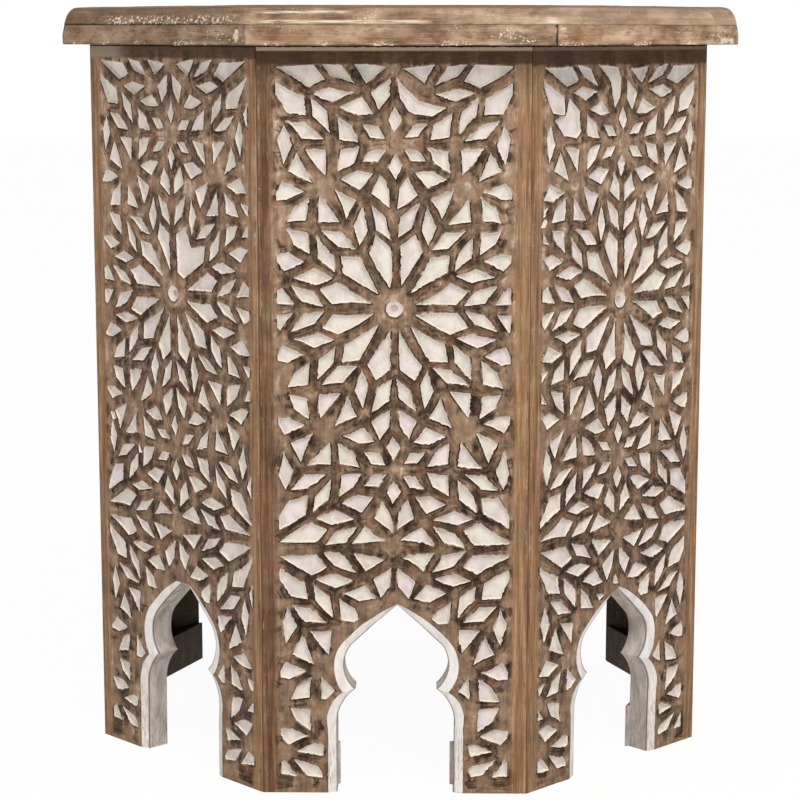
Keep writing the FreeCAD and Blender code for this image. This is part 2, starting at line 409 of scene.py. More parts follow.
# How strongly each pattern moves the wood's tone, and how much more so on a panel's stiles
board_tone_shares = {"grain": 0.9, "blotch": 1.3, "fine": 0.4}
carved_tone_shares = {"blotch": 1.0, "mottle": 0.42, "spots": 0.35, "carved_grain": 0.6, "carved_fine": 0.3}
stile_tone_shares = {"carved_grain": 0.9, "carved_fine": 0.4}
stile_start_tone = -0.15
stile_share = 0.8
soaked_share = 0.36

# How far a wood's tints reach, where each is drawn, and how soft the limits of streaks and patches are
tints = ((olive, 0.5), (plum, 0.45), (rust, 0.5))
tint_limits = (0.5, 0.72)
tint_start = Vector((0, 5, 9))
tint_spacing = Vector((17.3, 0, 0))
fleck_shares = {"planks": 0.05, "edgings": 0.08, "inside": 0.0}
knocked_softness = (1.0, 8.0)
streak_softness = (0.5, 6.0)
patch_softness = (1.2, 2.5)

# Camera, in pixels of the photograph's frame, metres and degrees
image_size = 800
camera_focal_pixels = 2227.7
camera_place = (0.0275, -1.6044, 0.4917)
camera_pitch = 9.39
camera_yaw = -0.98
sensor_width = 36.0
camera_reach = 50.0

# Light and floor, in metres: the room's even light, lamps as name, place, target, size, power and colour, and
# how much of the floor the camera sees as even white
white = (1, 1, 1, 1)
world_colour = (1.0, 0.985, 0.97, 1)
world_strength = 0.55
lights = [
    ("key", (0.8, -2.0, 2.5), (0, 0, 0.25), (1.5, 1.5), 62, (1.0, 0.98, 0.96)),
    ("fill", (-2.4, -1.8, 0.9), (0, 0, 0.25), (1.6, 1.6), 14, (1.0, 0.98, 0.96)),
]
floor_size = 12.0
floor_place = (0, 3, 0)
floor_parts = 8
floor_white_share = 0.96


def polar(radius, degrees):
    return cmath.rect(radius, math.radians(degrees))


def circle(middle, radius, count):
    return [middle + polar(radius, 360 * step / count) for step in range(count)]


def wobble(point, seed, wave, size):
    """A smooth random number up to about size, for a place on a panel."""
    return size * noise.noise(Vector((point.real / wave, point.imag / wave, seed * seed_spacing)))


# Carving pattern


def pulled(corners):
    """A cell's corners, each pulled inwards between its two sides by its own distance to leave the straps."""
    points = [corner for corner, _ in corners]
    result = []
    for number, (corner, pull) in enumerate(corners):
        before = points[number - 1] - corner
        after = points[(number + 1) % len(points)] - corner
        inward = before / abs(before) + after / abs(after)
        result.append(corner + inward / abs(inward) * pull)
    return result


def wedge_cells():
    """The cells of one twelfth of the pattern, from a rosette's middle at 0 to a flower's middle above it."""
    flower = 1j * star_pitch
    ring_up = polar(rosette_ring, 90)
    ring_side = polar(rosette_ring, 60)
    tip = polar(rosette_ring * math.sin(math.radians(120)) / math.sin(math.radians(45)), 75)
    star = polar(star_pitch / math.sqrt(2), 75)
    node_side = polar(star_pitch / math.sqrt(3), 60)
    node_up = polar(star_pitch / math.sqrt(3), 90)
    hexagon_side = flower + polar(star_pitch * (1 - 1 / math.sqrt(3)), -30)
    triangle_end = (hexagon_side + polar(half_pattern_width, 60)) / 2
    near = flower + polar(tooth_near_distance, -60)
    far_up = flower + polar(tooth_far_distance, -90)
    far_side = flower + polar(tooth_far_distance, -30)
    return [
        pulled([(0, petal_middle_pull), (ring_up, petal_ring_pull), (tip, petal_tip_pull),
                (ring_side, petal_ring_pull)]),
        pulled([(ring_up, kite_ring_pull), (node_up, kite_node_pull), (star, kite_star_pull),
                (tip, kite_tip_pull)]),
        pulled([(ring_side, kite_ring_pull), (tip, kite_tip_pull), (star, kite_star_pull),
                (node_side, kite_node_pull)]),
        pulled([(near, tooth_near_pull), (star, tooth_star_pull), (node_up, tooth_node_pull),
                (far_up, tooth_far_pull)]),
        pulled([(near, tooth_near_pull), (far_side, tooth_far_pull), (hexagon_side, tooth_node_pull),
                (star, tooth_star_pull)]),
        pulled([(star, triangle_star_pull), (triangle_end, triangle_end_pull),
                (node_side, triangle_node_pull)]),
    ]


def leaf_cells(middle):
    """The six leaves round a flower's middle."""
    leaf = [leaf_near, leaf_middle + 1j * leaf_half_width, leaf_far, leaf_middle - 1j * leaf_half_width]
    return [[middle + polar(1, 30 + 60 * turn) * corner for corner in leaf] for turn in range(6)]


def star_cells():
    """Every cell of the pattern that can reach a panel's field."""
    cells = []
    for row in pattern_rows:
        for column in pattern_columns:
            across = 2 * half_pattern_width * (column + (row % 2) / 2)
            rosette = complex(across, 1.5 * star_pitch * row + rosette_height)
            for turn in range(6):
                for cell in wedge_cells():
                    mirrored = [-corner.conjugate() for corner in reversed(cell)]
                    for corners in (cell, mirrored):
                        cells.append([rosette + polar(1, 60 * turn) * corner for corner in corners])
            cells += leaf_cells(rosette + 1j * star_pitch)
            cells += leaf_cells(rosette - 1j * star_pitch)
    return cells


def clipped(polygon, edge_point, inward):
    """The part of a polygon on the inward side of a line."""
    heights = [((corner - edge_point) * inward.conjugate()).real for corner in polygon]
    result = []
    for number, corner in enumerate(polygon):
        before, height, height_before = polygon[number - 1], heights[number], heights[number - 1]
        if (height < 0) != (height_before < 0):
            result.append(before + (corner - before) * height_before / (height_before - height))
        if height >= 0:
            result.append(corner)
    return result


def area(polygon):
    return sum((polygon[i - 1].conjugate() * polygon[i]).imag for i in range(len(polygon))) / 2


# Arch outlines


def arc(start, middle, end, count):
    """Points on the arc through three points, without its end."""
    chord = end - start
    relative = (middle - start) / chord
    if abs(relative.imag) < tiny:
        return [start + chord * step / count for step in range(count)]
    centre_share = 0.5 + 1j * (abs(relative) ** 2 - relative.real) / (2 * relative.imag)
    centre = start + chord * centre_share
    sweep = cmath.phase((end - centre) / (start - centre))
    return [centre + (start - centre) * cmath.exp(1j * sweep * step / count) for step in range(count)]


def arch_outline(outline_shares, half_width, height):
    """An arch from its right foot over the apex to its left foot."""
    points = [complex(x * half_width, z * height) for x, z in outline_shares]
    right = []
    for start in range(0, len(points) - 2, 2):
        right += arc(*points[start:start + 3], arc_points)
    return right + [points[-1]] + [-point.conjugate() for point in reversed(right)]


def off_mark(line, side):
    """An arch line as one panel's arch was really cut."""
    foot, apex, rise = arch_errors.get(side, (0, 0, 0))
    moved = []
    for point in line:
        share = (point.imag / opening_height) ** 2
        moved.append(point + foot + (apex - foot) * share + 1j * rise * share)
    return moved


def arch_lines(side):
    """The outlines of the opening and of its bevelled mouth on one panel."""
    opening = arch_outline(opening_outline_shares, opening_half_width, opening_height)
    mouth = arch_outline(mouth_outline_shares, mouth_half_width, mouth_height)
    return off_mark(opening, side), off_mark(mouth, side)


def inside(point, polygon):
    """Whether a point is within a closed polygon."""
    result = False
    for number, corner in enumerate(polygon):
        before = polygon[number - 1]
        if (corner.imag > point.imag) != (before.imag > point.imag):
            share = (point.imag - corner.imag) / (before.imag - corner.imag)
            result ^= point.real < corner.real + share * (before.real - corner.real)
    return result


def clear_of_arch(polygon, mouth_line):
    """A cell cut back to leave a plain margin round the arch."""
    for _ in range(arch_cuts):
        worst, cut = touch, None
        for corner in polygon:
            nearest = min(range(1, len(mouth_line) - 1), key=lambda i: abs(mouth_line[i] - corner))
            tangent = mouth_line[nearest + 1] - mouth_line[nearest - 1]
            outward = -1j * tangent / abs(tangent)
            away = corner - mouth_line[nearest]
            short = arch_margin - (away * outward.conjugate()).real
            if short > worst and abs(away) < arch_reach or inside(corner, mouth_line):
                worst, cut = max(short, worst), (mouth_line[nearest] + outward * arch_margin, outward)
        if cut is None:
            return polygon
        polygon = clipped(polygon, *cut)
        if len(polygon) < 3:
            return []
    return polygon


def big_enough(cell):
    return len(cell) > 2 and abs(area(cell)) > smallest_recess


def field_cells(side, shift, limits, mouth_line):
    """The cells of one panel, moved by its own shift and cut to the carved field and to the arch."""
    left, right, top = limits
    growth = cell_growths.get(side, 0)
    cells = []
    for cell in star_cells():
        cell = pulled([(corner + shift, -growth) for corner in cell])
        for border, inward in ((left, 1), (right, -1), (1j * field_bottom, 1j), (1j * top, -1j)):
            cell = clipped(cell, border, inward)
        if big_enough(cell):
            cell = clear_of_arch(cell, mouth_line)
        cell = [corner for n, corner in enumerate(cell) if abs(corner - cell[n - 1]) > shortest_side]
        if big_enough(cell):
            cells.append(cell if area(cell) > 0 else cell[::-1])
    return cells


# Carved panels


def hull(points):
    """The convex outline round some points, counter-clockwise."""
    ordered = sorted(points, key=lambda point: (point.real, point.imag))
    chains = []
    for line in (ordered, ordered[::-1]):
        chain = []
        for point in line:
            while len(chain) > 1 and ((chain[-1] - chain[-2]).conjugate() * (point - chain[-2])).imag <= 0:
                chain.pop()
            chain.append(point)
        chains.append(chain[:-1])
    return chains[0] + chains[1]


def way_to(cell, place):
    """How far a place is from the nearest of some points along a cell's sides."""
    sides = zip(cell, cell[1:] + cell[:1])
    return min(abs((1 - share) * start + share * end - place)
               for start, end in sides for share in strap_search_shares)


def merged(cells, straps):
    """The cells, with the two on either side of each broken strap made one."""
    for strap, notch_share in straps:
        nearest = sorted(cells, key=lambda cell: way_to(cell, strap))[:2]
        cells = [cell for cell in cells if cell not in nearest] + [joined(*nearest, notch_share)]
    return cells


def joined(first, second, notch_share):
    """Two cells made one, with a notch in the longest side between them, where their strap's end stands."""
    outline = hull(first + second)
    bridges = [n for n in range(len(outline)) if (outline[n - 1] in first) != (outline[n] in first)]
    number = max(bridges, key=lambda n: abs(outline[n] - outline[n - 1]))
    before, after = outline[number - 1], outline[number]
    spare = area(outline) - area(first) - area(second)
    share = min(notch_share, 2 * spare / abs(after - before) ** 2)
    return outline[:number] + [(before + after) / 2 + 1j * (after - before) * share] + outline[number:]


def distances(points, outline):
    """The distance from each point to the nearest side of a closed outline."""
    start = np.array(outline)
    side = np.roll(start, -1) - start
    away = np.array(points)[:, None] - start[None, :]
    share = np.clip((away * side.conjugate()).real / np.abs(side) ** 2, 0, 1)
    return np.abs(away - share * side).min(axis=1)


def kept_on_border(corner, moved, limits):
    """A moved corner, brought back to each straight border of the field that its cell was cut to."""
    left, right, top = limits
    x, z = moved.real, moved.imag
    for limit in (left, right):
        if abs(corner.real - limit) < touch:
            x = limit
    for limit in (field_bottom, top):
        if abs(corner.imag - limit) < touch:
            z = limit
    return complex(x, z)


def hand_cut(cell, limits, rng):
    """A cell's outline as a carver leaves it, with corners off their marks and sides bowed and ragged."""
    shift = complex(rng.gauss(0, hand_error), rng.gauss(0, hand_error))
    corners = []
    for corner in cell:
        moved = corner + shift + complex(rng.gauss(0, hand_error), rng.gauss(0, hand_error))
        corners.append(kept_on_border(corner, moved, limits))
    outline = []
    corner_indexes = []
    for number, corner in enumerate(corners):
        side = corners[(number + 1) % len(corners)] - corner
        inward = 1j * side / abs(side)
        count = max(2, round(abs(side) / outline_spacing))
        bow = rng.gauss(0, side_bow_share) * abs(side)
        ragged = rng.choice(ragged_steps)
        if abs(side.real) < tiny or abs(side.imag) < tiny:
            bow, ragged = 0, border_error
        corner_indexes.append(len(outline))
        for step in range(count):
            share = step / count
            off = 4 * bow * share * (1 - share) + (rng.gauss(0, ragged) if step else 0)
            outline.append(corner + side * share + inward * off)
    return outline, corner_indexes


def outward_ways(outline):
    """The direction out of a counter-clockwise outline at each of its points."""
    ways = []
    for number in range(len(outline)):
        along = outline[(number + 1) % len(outline)] - outline[number - 1]
        ways.append(-1j * along / abs(along))
    return ways


def flat(points):
    return [Vector((point.real, point.imag)) for point in points]


def numbered_loops(outlines):
    """For each outline, the numbers of its points in one row of all points."""
    loops = []
    for outline in outlines:
        first = loops[-1][-1] + 1 if loops else 0
        loops.append(list(range(first, first + len(outline))))
    return loops


def strap_half_widths(outlines):
    """The half width of the strap beside each point of each outline, from circles between the outlines."""
    points = [point for outline in outlines for point in outline]
    owners = [number for number, outline in enumerate(outlines) for _ in outline]
    loops = numbered_loops(outlines)
    edges = [edge for loop in loops for edge in zip(loop, loop[1:] + loop[:1])]
    places, _, triangles, sources, _, _ = delaunay_2d_cdt(flat(points), edges, [], 0, same_point)
    widest = [0.0] * len(points)
    for triangle in triangles:
        if len({owners[source] for i in triangle for source in sources[i]}) == 1:
            continue
        a, b, c = (complex(*places[i]) for i in triangle)
        twice_area = abs(((b - a).conjugate() * (c - a)).imag)
        radius = abs(a - b) * abs(b - c) * abs(c - a) / max(2 * twice_area, tiny)
        for source in [source for i in triangle for source in sources[i]]:
            widest[source] = max(widest[source], min(radius, widest_strap))
    result = []
    for loop in loops:
        result.append([(widest[i] + widest[loop[n - 1]] + widest[loop[(n + 1) % len(loop)]]) / 3
                       for n, i in enumerate(loop)])
    return result


class Sheet:
    """The carved outer face of a panel, gathered as points with depths, and then triangulated.

    Each point also has its distance to the nearest recess's outline, less than 0 within one, the half width
    of the strap that it is on, and how far the strap's edge there looks up or down, from 1 to -1.
    """

    def __init__(self):
        self.points = []
        self.depths = []
        self.marks = []
        self.edges = []
        self.loops = []

    def add(self, points, depths, rims, straps=(), leans=()):
        first = len(self.points)
        self.points += list(points)
        self.depths += list(depths)
        empty = [0] * len(rims)
        self.marks += list(zip(rims, straps or empty, leans or empty))
        return list(range(first, len(self.points)))

    def add_loop(self, outline, straps=(), leans=()):
        indexes = self.add(outline, [0] * len(outline), [0] * len(outline), straps, leans)
        self.edges += list(zip(indexes, indexes[1:] + indexes[:1]))
        self.loops.append((set(indexes), outline))

    def add_recess(self, outline, straps, run, deep, seed):
        """A recess with a sloping wall round a flat floor, or with walls that meet where it is narrow."""
        count = len(outline)
        inward = [-way for way in outward_ways(outline)]
        self.add_loop(outline, straps, [-way.imag for way in inward])
        for share in wall_ring_shares:
            ring = [outline[i] + inward[i] * run * share for i in range(count)]
            away = distances(ring, outline)
            kept = [i for i in range(count) if away[i] > ring_clearance * run * share]
            depths = [deep * share + wobble(ring[i], seed, *floor_wave) for i in kept]
            indexes = self.add([ring[i] for i in kept], depths, [-away[i] for i in kept])
        place = dict(zip(kept, indexes))
        self.edges += [(place[i], place[(i + 1) % count]) for i in kept if (i + 1) % count in place]

    def add_tips(self, outline, corner_indexes, run, deep):
        """Points where the walls meet, from each corner of a recess inwards."""
        for number in corner_indexes:
            before = outline[number - 1] - outline[number]
            after = outline[(number + 1) % len(outline)] - outline[number]
            bisector = before / abs(before) + after / abs(after)
            if abs(bisector) < flattest_corner:
                continue
            bisector /= abs(bisector)
            half_sine = abs((bisector.conjugate() * after / abs(after)).imag)
            for share in tip_shares:
                point = outline[number] + bisector * run * share / half_sine
                away = distances([point], outline)[0]
                if away > tip_clearance * run * share and inside(point, outline):
                    self.add([point], [deep * min(1, away / run)], [-away])

    def triangulated(self):
        """Points, depths, marks, and triangles with whether each is in a recess. Loop 0 is the sheet's."""
        found = delaunay_2d_cdt(flat(self.points), self.edges, [], 0, same_point)
        places, _, triangles, sources, _, _ = found
        places = [complex(*place) for place in places]
        depths = [self.depths[source[0]] if source else 0 for source in sources]
        marks = [self.marks[source[0]] if source else no_marks for source in sources]
        loop_of = {index: loop for loop, (indexes, _) in enumerate(self.loops) for index in indexes}
        loops = [loop_of.get(source[0], None) if source else None for source in sources]
        kept = []
        for triangle in triangles:
            in_recess = any(marks[i][0] < 0 for i in triangle)
            if not in_recess and len({loops[i] for i in triangle}) == 1 and loops[triangle[0]] is not None:
                loop = loops[triangle[0]]
                within_loop = inside(sum(places[i] for i in triangle) / 3, self.loops[loop][1])
                if loop == 0 and not within_loop:
                    continue
                in_recess = within_loop and loop > 0
            kept.append((triangle, in_recess))
        return places, depths, marks, kept


class NearestStrap:
    """Finds how far the nearest recess is from a point, and the half width of the strap there."""

    def __init__(self, outlines, strap_widths):
        self.widths = [width for widths in strap_widths for width in widths]
        self.tree = kdtree.KDTree(len(self.widths))
        for number, point in enumerate(point for outline in outlines for point in outline):
            self.tree.insert((point.real, point.imag, 0), number)
        self.tree.balance()

    def find(self, point):
        _, index, gap = self.tree.find((point.real, point.imag, 0))
        return gap, self.widths[index]


def worn_edge(height, seed):
    """How far a panel's long edge is worn back at a height."""
    soft = sum(noise.noise(Vector((height / wave, seed, place))) * share for wave, place, share in edge_waves)
    return edge_wear + max(least_edge_wear, soft)


def panel_outline(seed, mouth_line):
    """The outline of a panel's flat face, from its right foot upwards and round, with the arch."""
    heights = np.linspace(0, panel_height, edge_points)
    right = [complex(panel_half_width - worn_edge(z, seed), z) for z in heights]
    left = [complex(-panel_half_width + worn_edge(z, seed + left_edge_seed), z) for z in heights[::-1]]
    mouth = []
    for point in mouth_line[::-1]:
        across = wobble(point, seed, *mouth_wave)
        upwards = wobble(point, seed + upward_seed, *mouth_wave) if point.imag else 0
        mouth.append(point + complex(across, upwards))
    return right, left, mouth


def add_recesses(sheet, side, shift, mouth_line, seed):
    """Adds a panel's recesses and drilled dimple, and returns their outlines and the straps' half widths."""
    rng = random.Random(seed)
    limits = field_limits.get(side, plain_limits)
    cells = merged(field_cells(side, shift, limits, mouth_line), worn_straps.get(side, []))
    outlines, corner_places = zip(*[hand_cut(cell, limits, rng) for cell in cells])
    rosette = 1j * rosette_height + shift
    dimple = [rosette + polar(dimple_radius + rng.gauss(0, dimple_error), 360 * i / dimple_points)
              for i in range(dimple_points)]
    outlines = [*outlines, dimple]
    strap_widths = strap_half_widths(outlines)
    for outline, widths, corner_indexes in zip(outlines, strap_widths, corner_places):
        run = rng.uniform(*wall_runs)
        deep = rng.uniform(*recess_depths)
        sheet.add_recess(outline, widths, run, deep, seed)
        sheet.add_tips(outline, corner_indexes, run, deep)
    sheet.add_recess(dimple, strap_widths[-1], dimple_wall, dimple_depth, seed)
    hole = circle(rosette, drill_radius, drill_points)
    sheet.add(hole, [dimple_depth] * drill_points, [-dimple_wall] * drill_points)
    hole = circle(rosette, drill_floor_radius, drill_points) + [rosette]
    sheet.add(hole, [drill_floor_depth] * drill_points + [drill_depth], [drill_rim] * len(hole))
    return outlines, strap_widths


def add_lips(sheet, outlines, strap_widths, nearest):
    """Points on the straps beside each recess."""
    for outline, widths in zip(outlines, strap_widths):
        ways = outward_ways(outline)
        for lip in lip_widths:
            lips = [(point + way * lip, width, way.imag) for point, way, width in zip(outline, ways, widths)]
            lips = [place for place in lips if nearest.find(place[0])[0] > tip_clearance * lip]
            if lips:
                places, lip_straps, leans = zip(*lips)
                sheet.add(places, [0] * len(lips), [lip] * len(lips), lip_straps, leans)


def in_any(point, outlines, boxes):
    """Whether a point lies in one of some outlines, which have boxes round them."""
    for outline, (low, high) in zip(outlines, boxes):
        in_box = low.real < point.real < high.real and low.imag < point.imag < high.imag
        if in_box and inside(point, outline):
            return True
    return False


def add_plain_points(sheet, outlines, nearest, mouth_line):
    """A staggered grid of points over the rest of the face."""
    mouth_zone = [point + (mouth_clearance if point.real > 0 else -mouth_clearance) for point in mouth_line]
    boxes = []
    for outline in outlines:
        x, z = [point.real for point in outline], [point.imag for point in outline]
        boxes.append((complex(min(x), min(z)), complex(max(x), max(z))))
    plain = []
    rows = int(panel_height / (face_grid * row_share))
    columns = int(panel_half_width / face_grid)
    for row in range(1, rows):
        for column in range(-columns, columns + 1):
            point = complex((column + (row % 2) / 2) * face_grid, row * panel_height / rows)
            clear = abs(point.real) <= panel_half_width - edge_clearance
            clear = clear and nearest.find(point)[0] >= outline_clearance and not inside(point, mouth_zone)
            if clear and not in_any(point, outlines, boxes):
                plain.append(point)
    sheet.add(plain, [0] * len(plain), *zip(*[nearest.find(point) for point in plain]))


def carve(seed, shift, side, mouth_line):
    """One panel's carved sheet, with its outline in three parts."""
    sheet = Sheet()
    right, left, mouth = panel_outline(seed, mouth_line)
    border = right + left + mouth
    sheet.add_loop(border, [widest_strap] * len(border))
    outlines, strap_widths = add_recesses(sheet, side, shift, mouth_line, seed)
    nearest = NearestStrap(outlines, strap_widths)
    add_lips(sheet, outlines, strap_widths, nearest)
    add_plain_points(sheet, outlines, nearest, mouth_line)
    return sheet, right, left, mouth


def made_object(mesh, name, sharp_angle):
    """A scene object with a finished mesh, smooth where its faces meet at less than an angle."""
    bmesh.ops.recalc_face_normals(mesh, faces=mesh.faces)
    data = bpy.data.meshes.new(name)
    mesh.to_mesh(data)
    mesh.free()
    data.set_sharp_from_angle(angle=math.radians(sharp_angle))
    made = bpy.data.objects.new(name, data)
    bpy.context.scene.collection.objects.link(made)
    return made


class PanelMesh:
    """A panel's mesh in the front panel's place, with what its materials read at each point."""

    def __init__(self):
        self.mesh = bmesh.new()
        self.layers = [self.mesh.verts.layers.float.new(name) for name in point_marks]
        self.side_layers = [self.mesh.verts.layers.float.new(name) for name in side_marks]

    def vertex(self, point, depth, marks=plain_marks):
        made = self.mesh.verts.new((point.real * mm, (depth - body_apothem) * mm, point.imag * mm))
        for layer, value in zip(self.layers, marks):
            made[layer] = value
        return made

    def ring(self, line, depth):
        return [self.vertex(point, depth) for point in line]

    def face(self, corners, slot, smooth=True):
        made = self.mesh.faces.new(corners)
        made.material_index = slot
        made.smooth = smooth

    def strip(self, first, second, slot):
        for i in range(len(first) - 1):
            self.face([first[i], first[i + 1], second[i + 1], second[i]], slot)

    def finish(self, side_values):
        bmesh.ops.remove_doubles(self.mesh, verts=self.mesh.verts, dist=weld_distance * mm)
        for vertex in self.mesh.verts:
            for layer, value in zip(self.side_layers, side_values):
                vertex[layer] = value
        return self.mesh


def add_carved_face(panel, sheet):
    points, depths, marks, triangles = sheet.triangulated()
    vertices = [panel.vertex(*values) for values in zip(points, depths, marks)]
    for triangle, in_recess in triangles:
        panel.face([vertices[i] for i in triangle], slot_recess if in_recess else slot_face)


def add_arch_walls(panel, mouth, opening, seed):
    """The bevelled mouth of the arch and its inner wall, through to the inner face."""
    bevel_line = [point + wobble(point, seed, *bevel_wave) for point in opening]
    face_mouth = panel.ring(mouth, 0)
    bevel = panel.ring(bevel_line, mouth_bevel_depth)
    bevel_inner = panel.ring(bevel_line, mouth_bevel_depth + soft_bevel_depth)
    back_mouth = panel.ring(opening, panel_thickness)
    panel.strip(face_mouth, bevel, slot_bevel)
    panel.strip(bevel, bevel_inner, slot_reveal)
    panel.strip(bevel_inner, back_mouth, slot_reveal)


def add_long_edges(panel, right, left):
    """The worn edges, from the face round to the mitres and back along these."""
    for line, turn in ((right, 1), (left, -1)):
        edges = [panel.ring(line, 0)]
        for share, depth in edge_profile:
            mitre = turn * (panel_half_width - depth * side_tangent)
            edges.append(panel.ring([point + (mitre - point.real) * share for point in line], depth))
        for first, second in zip(edges, edges[1:]):
            panel.strip(first, second, slot_face)


def add_back_and_feet(panel, opening):
    corners = [inner_half_width, complex(inner_half_width, panel_height)]
    back = corners + [-corner.conjugate() for corner in reversed(corners)]
    panel.face(panel.ring(back + opening, panel_thickness)[::-1], slot_inner, False)
    foot = [(panel_half_width, 0), (inner_half_width, panel_thickness), (opening_half_width, panel_thickness),
            (opening_half_width, mouth_bevel_depth), (mouth_half_width, 0)]
    for way in (-1, 1):
        panel.face([panel.vertex(way * x, depth, no_marks) for x, depth in foot], slot_inner, False)


def build_panel(number, side):
    """A carved panel in the front panel's place, turned to its own side."""
    seed = number + 1
    opening_line, mouth_line = arch_lines(side)
    sheet, right, left, mouth = carve(seed, pattern_shifts.get(side, 0), side, mouth_line)
    panel_mesh = PanelMesh()
    add_carved_face(panel_mesh, sheet)
    add_arch_walls(panel_mesh, mouth, opening_line[::-1], seed)
    add_long_edges(panel_mesh, right, left)
    add_back_and_feet(panel_mesh, opening_line[::-1])
    field_top = field_limits.get(side, plain_limits)[2]
    mesh = panel_mesh.finish([field_top, strip_shares.get(side, 0), number, side_tones.get(side, 0)])
    panel = made_object(mesh, "carved_panel_" + side, panel_sharp_angle)
    panel.rotation_euler.z = 2 * half_step * number
    for material in slot_materials:
        panel.data.materials.append(material)
    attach(panel, "root")
    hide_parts("side_panel_" + side)


# Slab


def worn(place, seed, size):
    """How far wear takes a surface back at a place."""
    slow = noise.noise(Vector(place) / slow_wave + Vector((seed, 0, 0)))
    quick = noise.noise(Vector(place) / quick_wave + Vector((0, seed, 0)))
    return size * max(0.0, middle_wear_share + slow_share * slow + quick_share * quick)


def corner_error(side, share):
    """How far the slab's edge is off its mark at a share of one side, from its left corner at -1 to 1."""
    left = slab_corner_errors.get(side_names[side - 1], 0)
    right = slab_corner_errors.get(side_names[side], 0)
    return left + (right - left) * (share + 1) / 2


def softened(side, share, apothem, height):
    """How far a corner of the slab is worn back at a share of one side and at a height."""
    away = (1 - abs(share)) * apothem * side_tangent
    back = corner_soft * (max(0, corner_soft_reach - away) / corner_soft_reach) ** 2
    if side_names[side if share > 0 else side - 1] in rubbed_corners and height > rubbed_from:
        rise = math.sin(math.pi * (height - rubbed_from) / (overall_height - rubbed_from))
        back += rubbed_depth * rise * (max(0, rubbed_reach - away) / rubbed_reach) ** 2
    return back


def side_shares():
    return [2 * step / slab_side_points - 1 for step in range(slab_side_points + 1)]


def rounded_octagon(apothem, inset, height):
    """Points round the slab at an inset from its edge, with softened corners off their marks."""
    points = []
    for side in range(side_count):
        turn = polar(1, 360 / side_count * side - 90)
        for share in side_shares()[:-1]:
            across = share * apothem * side_tangent
            back = inset + softened(side, share, apothem, height)
            place = apothem - back + 1j * across * (1 - inset / apothem)
            points.append(turn * place + corner_error(side, share))
    return points


def rim_profile():
    """The planks' rim from its underside up and in, as insets and heights."""
    profile = rim_foot[:]
    for step in range(rim_steps + 1):
        angle = math.pi / 2 * step / rim_steps
        profile.append((rim_inset + rim_round * (1 - math.cos(angle)),
                        plank_thickness - rim_round * (1 - math.sin(angle))))
    return profile


def rim_ring(mesh, inset, height):
    """A ring of points round the planks, worn back and down."""
    ring = []
    for point in rounded_octagon(top_apothem, inset, edging_top + height):
        place = (point.real, point.imag, height)
        back = worn(place, rim_back_seed, rim_wear) if 0 < height < plank_thickness - near_edge else 0
        point *= 1 - back / abs(point)
        drop = worn(place, rim_drop_seed, rim_wear) * rim_drop_share if height >= rim_drop_from else 0
        ring.append(mesh.verts.new((point.real * mm, point.imag * mm, (edging_top + height - drop) * mm)))
    return ring


def skin(mesh, rings):
    """Faces from ring to ring, and over the first ring and the last."""
    for first, second in zip(rings, rings[1:]):
        for i in range(len(first)):
            mesh.faces.new([first[i - 1], first[i], second[i], second[i - 1]]).smooth = True
    mesh.faces.new(rings[0])
    mesh.faces.new(rings[-1])


def build_plank(number):
    """One plank of the top: an octagonal board with a rounded rim, cut at the plank's joints."""
    mesh = bmesh.new()
    skin(mesh, [rim_ring(mesh, inset, height) for inset, height in rim_profile()])
    near = -top_apothem + number * plank_width
    for edge, direction in ((near, -1), (near + plank_width, 1)):
        if abs(edge) < top_apothem - near_edge:
            cut = bmesh.ops.bisect_plane(
                mesh, geom=mesh.verts[:] + mesh.edges[:] + mesh.faces[:], clear_outer=True,
                plane_co=(0, (edge - direction * joint_gap) * mm, 0), plane_no=(0, direction, 0))
            rim = [item for item in cut["geom_cut"] if isinstance(item, bmesh.types.BMEdge)]
            bmesh.ops.contextual_create(mesh, geom=rim)
    plank = made_object(mesh, "worn_plank_" + str(number + 1), slab_sharp_angle)
    plank.data.materials.append(wood_top)
    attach(plank, "root")
    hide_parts("top_plank_" + str(number + 1))


def edging_ring(mesh, number, share):
    """The section of one edging strip at a share of its length, with its outer face worn back."""
    height = edging_top - edging_bottom
    upper = [(inset, height - rise) for inset, rise in ((0, 0.7), (0.25, 0.2), (0.8, 0))]
    section = [(edging_width, 0), *edging_ends, (0, height / 2), *upper, (edging_width, height)]
    error = corner_error(number, share) * polar(1, -360 / side_count * number)
    ring = []
    for inset, rise in section:
        outer = inset < near_edge
        apothem = top_apothem - inset
        end = mitre_gap + (mitre_round if abs(share) == 1 and outer else 0)
        across = share * (apothem * side_tangent - end)
        place = (across, number * edging_spacing, rise)
        back = worn(place, number, edging_wear) + softened(number, share, top_apothem, edging_bottom + rise)
        lift = worn(place, number + edging_lift_seed, edging_wear) if rise < near_edge and outer else 0
        place = complex(across, (back if outer else 0) - apothem) + error
        ring.append(mesh.verts.new((place.real * mm, place.imag * mm, (edging_bottom + rise + lift) * mm)))
    return ring


def build_edging(number, side):
    """One mitred strip under the top's edge, with its corners worn round."""
    mesh = bmesh.new()
    skin(mesh, [edging_ring(mesh, number, share) for share in side_shares()])
    turn = Matrix.Rotation(2 * half_step * number, 3, "Z")
    bmesh.ops.rotate(mesh, cent=(0, 0, 0), matrix=turn, verts=mesh.verts)
    edging = made_object(mesh, "worn_edging_" + side, slab_sharp_angle)
    edging.data.materials.append(edging_wood(side))
    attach(edging, "root")
    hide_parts("top_edging_" + side)


# Materials


def shade(colour):
    """A colour given as a screen shows it, for a shader socket. What is a socket already stays as it is."""
    if isinstance(colour, bpy.types.NodeSocket):
        return colour
    linear = [((v / 255 + 0.055) / 1.055) ** 2.4 if v > 10 else v / 255 / 12.92 for v in colour]
    return (*linear, 1.0)


def darker(colour, share):
    return [share * value for value in colour]


